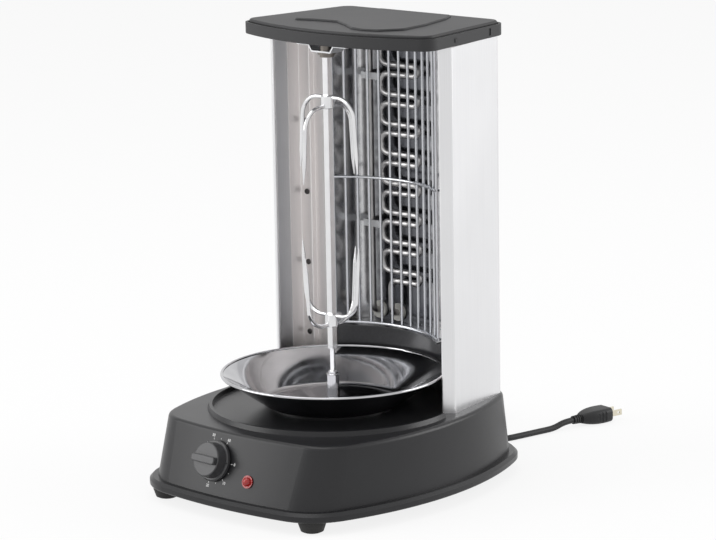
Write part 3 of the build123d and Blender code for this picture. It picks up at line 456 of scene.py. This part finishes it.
# %% [markdown]
# ## Sheet steel
# The housing is brushed along its height, which draws fine upright lines and smears
# reflections across them. A noise that is squeezed in plan and stretched upwards draws such
# lines, and it varies roughness, tone and a very shallow bump together.

# %% Brushed and plain sheet
BRUSH_UPRIGHT = (1.0, 1.0, 0.006)       # stretch of the noise, so that its streaks stand up


def sheet_metal(name, dark, pale, roughness, spread, stretch=BRUSH_UPRIGHT, scale=1400.0, metallic=1.0):
    finish = Finish(name, Metallic=metallic)
    streaks = finish.noise(scale, 2.0, stretch)
    smudges = finish.noise(9.0, 3.0)
    finish.tint(0.5 * streaks + 0.5 * smudges, dark, pale)
    finish.set("Roughness", roughness + spread * (0.6 * streaks + 0.4 * smudges))
    finish.bump(streaks, 0.06, 0.00008)
    return finish


housing_steel = sheet_metal("brushed_housing_steel", (0.66, 0.66, 0.67), (0.82, 0.82, 0.83), 0.26, 0.18)
liner_sheet = sheet_metal("bright_liner_sheet", (0.84, 0.80, 0.79), (0.96, 0.93, 0.92), 0.28, 0.14,
                          metallic=0.62)
zinc_sheet = sheet_metal("zinc_plated_sheet", (0.42, 0.43, 0.44), (0.66, 0.66, 0.67), 0.30, 0.20,
                         (1, 1, 1), 320.0)
dress(housing_steel, "steel_housing")
dress(liner_sheet, "left_bulkhead", "right_bulkhead")
dress(zinc_sheet, "gear_motor", "motor_bracket", "motor_shaft", "timer_shaft", "timer_body", "heater_clips",
      "thermal_cutout", "heat_shield", "bearing_bracket")

# %% [markdown]
# ## The stained reflector
# Behind the heater the tray looks dark blue-grey, which heat does to such sheet, and towards
# its sides it is bright, with mottled marks. So its colour follows the distance from the
# heater's middle line, broken up by a noise, and the streaks of the sheet lie over both.

# %% Reflector
HEATER_MIDDLE = -0.012                  # across, in metres


def stained_reflector():
    finish = Finish("heat_stained_reflector", Metallic=1.0)
    away = finish.node("ShaderNodeMath", {"operation": "ABSOLUTE"}, {0: finish.along("X") - HEATER_MIDDLE})
    mottle = finish.noise(120.0, 4.0)
    streaks = finish.noise(1100.0, 2.0, BRUSH_UPRIGHT)
    clean = finish.ramp(away + 0.022 * (mottle - 0.5), 0.024, 0.058)
    finish.tint(clean * (0.55 + 0.45 * streaks) + 0.10 * mottle, (0.085, 0.088, 0.100), (0.80, 0.80, 0.81))
    finish.set("Roughness", 0.10 + 0.14 * mottle)
    finish.bump(mottle, 0.05, 0.0004)
    return finish


dress(stained_reflector(), "rear_reflector")

# %% [markdown]
# ## Chrome and polished steel
# Skewer, forks and grille are plated, the pan is pressed and polished. A polished metal has
# almost no colour of its own: it shows what is round it, and only smudges, faint waves from
# the press and wipe marks tell it from a mirror.


# %% Polished metal
def polished_metal(name, dark, pale, roughness, smear, wave=0.0):
    finish = Finish(name, Metallic=1.0)
    smudges = finish.noise(38.0, 4.0)
    finish.tint(smudges, dark, pale)
    finish.set("Roughness", roughness + smear * smudges)
    if wave:
        finish.bump(finish.noise(26.0, 1.0), wave, 0.0012)
    return finish


skewer_chrome = polished_metal("skewer_chrome", (0.66, 0.66, 0.67), (0.84, 0.84, 0.85), 0.08, 0.10)
grille_chrome = polished_metal("grille_chrome", (0.46, 0.47, 0.50), (0.68, 0.69, 0.71), 0.14, 0.14)
pan_steel = polished_metal("polished_pan_steel", (0.40, 0.40, 0.41), (0.58, 0.58, 0.60), 0.05, 0.08, 0.03)
screw_steel = polished_metal("plated_screw_steel", (0.45, 0.45, 0.46), (0.68, 0.68, 0.68), 0.20, 0.14)
dress(skewer_chrome, "skewer_bar", "upper_fork_hub", "upper_fork_prongs", "lower_fork_hub",
      "lower_fork_prongs")
dress(grille_chrome, "wire_grille")
dress(pan_steel, "drip_pan", "pan_tube", "drive_socket")
dress(screw_steel, "base_screws", "cover_screws", "upper_thumb_screw", "lower_thumb_screw")
# The bulkhead screws get a near-black metal, much darker than the other screws.
dress(polished_metal("near_black_screw_metal", (0.04, 0.04, 0.04), (0.13, 0.12, 0.12), 0.30, 0.14),
      "bulkhead_screws")
dress(polished_metal("nickelled_brass", (0.60, 0.55, 0.42), (0.78, 0.74, 0.62), 0.16, 0.10), "plug_pins")
dress(polished_metal("sintered_bush", (0.10, 0.09, 0.08), (0.24, 0.22, 0.20), 0.32, 0.12), "top_bush")

# %% [markdown]
# ## Heater, its beads and the guard
# A sheathed heating tube comes bright from the mill and darkens with its first use, unevenly,
# so lighter and darker grey patches lie along it. The guard behind the pan is dark enamel.

# %% Heater and guard
heater_tube = Finish("sheathed_heater_tube", Metallic=1.0)
stain = heater_tube.noise(45.0, 4.0)
heater_tube.tint(stain, (0.24, 0.235, 0.24), (0.66, 0.65, 0.64))
heater_tube.set("Roughness", 0.24 + 0.20 * stain)
dress(heater_tube, "heater_element")

glazed_ceramic = Finish("glazed_ceramic", Coat_Weight=0.3, Coat_Roughness=0.12)
speckle = glazed_ceramic.noise(500.0, 2.0)
glazed_ceramic.tint(speckle, (0.74, 0.72, 0.67), (0.90, 0.89, 0.85))
glazed_ceramic.set("Roughness", 0.24 + 0.14 * speckle)
dress(glazed_ceramic, "ceramic_terminals")

dark_enamel = Finish("dark_enamel", Coat_Weight=0.5, Coat_Roughness=0.14)
orange_peel = dark_enamel.noise(420.0, 1.0)
dark_enamel.tint(orange_peel, (0.012, 0.012, 0.014), (0.030, 0.030, 0.034))
dark_enamel.set("Roughness", 0.28 + 0.12 * orange_peel)
dark_enamel.bump(orange_peel, 0.12, 0.00015)
dress(dark_enamel, "heat_guard")

# %% [markdown]
# ## Floor, lamps and world
# The background is plain white, so the floor glows faintly to the eye of the camera and in
# reflections, and keeps part of the real shading, which holds the object's shadow. Three
# large soft lamps and an even sky light the object at a plain level.

# %% Floor
FLOOR_HALF = 14.0
FLOOR_SHADE = 0.16                       # how much of the real shading the floor keeps


def add_floor():
    mesh = bpy.data.meshes.new("floor")
    corners = [(x * FLOOR_HALF, y * FLOOR_HALF, 0) for x, y in ((-1, -1), (1, -1), (1, 1), (-1, 1))]
    mesh.from_pydata(corners, [], [(0, 1, 2, 3)])
    floor = bpy.data.objects.new("floor", mesh)
    bpy.context.scene.collection.objects.link(floor)
    finish = Finish("pale_floor", Base_Color=(0.92, 0.92, 0.92), Roughness=0.9, Specular_IOR_Level=0.0)
    rays = finish.node("ShaderNodeLightPath", out="Is Camera Ray")
    glossy = finish.node("ShaderNodeLightPath", out="Is Glossy Ray")
    clear = finish.node("ShaderNodeLightPath", out="Is Transmission Ray")
    seen = rays.math("MAXIMUM", rays.math("MAXIMUM", rays, glossy), clear)
    white = finish.node("ShaderNodeEmission", {}, {"Color": (1, 1, 1, 1), "Strength": 1.0})
    mix = finish.node("ShaderNodeMixShader", {}, {0: seen * (1 - FLOOR_SHADE), 2: white})
    finish.tree.links.new(finish.surface.outputs[0], mix.socket.node.inputs[1])
    finish.tree.links.new(mix.socket, finish.tree.nodes["Material Output"].inputs[0])
    mesh.materials.append(finish.material)


add_floor()
print("floor keeps", FLOOR_SHADE, "of its shading")

# %% Lamps
LAMPS = [
    # name, place, size, power in watts
    ("left_front", (-2.1, -2.2, 1.35), 2.4, 42.0),
    ("right_rear", (2.1, 2.2, 1.20), 2.0, 34.0),
    ("overhead", (-0.4, -0.6, 3.2), 2.4, 24.0),
]


def add_lamp(name, place, size, power):
    data = bpy.data.lights.new(name, "AREA")
    data.shape, data.size, data.energy = "DISK", size, power
    lamp = bpy.data.objects.new(name, data)
    bpy.context.scene.collection.objects.link(lamp)
    lamp.location = place
    lamp.visible_camera = False             # a lamp never stands in any view's background
    lamp.rotation_euler = (AIM - Vector(place)).to_track_quat("-Z", "Y").to_euler()


for lamp in LAMPS:
    add_lamp(*lamp)
print("lamps", len(LAMPS))

# %% [markdown]
# ### What the metal mirrors
# Metal and glass have to show the same white background as the camera sees, or they look as
# if they stood somewhere else. So the sky is plain white to the camera, to mirror rays and
# through glass, and dimmer only as it lights matt surfaces.

# %% World
SKY_LIGHT = 0.62                         # how brightly the sky lights matt surfaces


def add_world():
    world = bpy.data.worlds.new("studio")
    bpy.context.scene.world = world
    world.use_nodes = True
    tree = world.node_tree
    rays = tree.nodes.new("ShaderNodeLightPath")
    seen = rays.outputs["Is Camera Ray"]
    for kind in ("Is Glossy Ray", "Is Transmission Ray"):
        either = tree.nodes.new("ShaderNodeMath")
        either.operation = "MAXIMUM"
        tree.links.new(seen, either.inputs[0])
        tree.links.new(rays.outputs[kind], either.inputs[1])
        seen = either.outputs[0]
    strength = tree.nodes.new("ShaderNodeMapRange")
    strength.inputs["To Min"].default_value = SKY_LIGHT
    tree.links.new(seen, strength.inputs["Value"])
    sky = tree.nodes["Background"]
    sky.inputs["Color"].default_value = (1, 1, 1, 1)
    tree.links.new(strength.outputs[0], sky.inputs["Strength"])


add_world()
bpy.context.scene.view_settings.view_transform = "Standard"
print("sky", SKY_LIGHT)
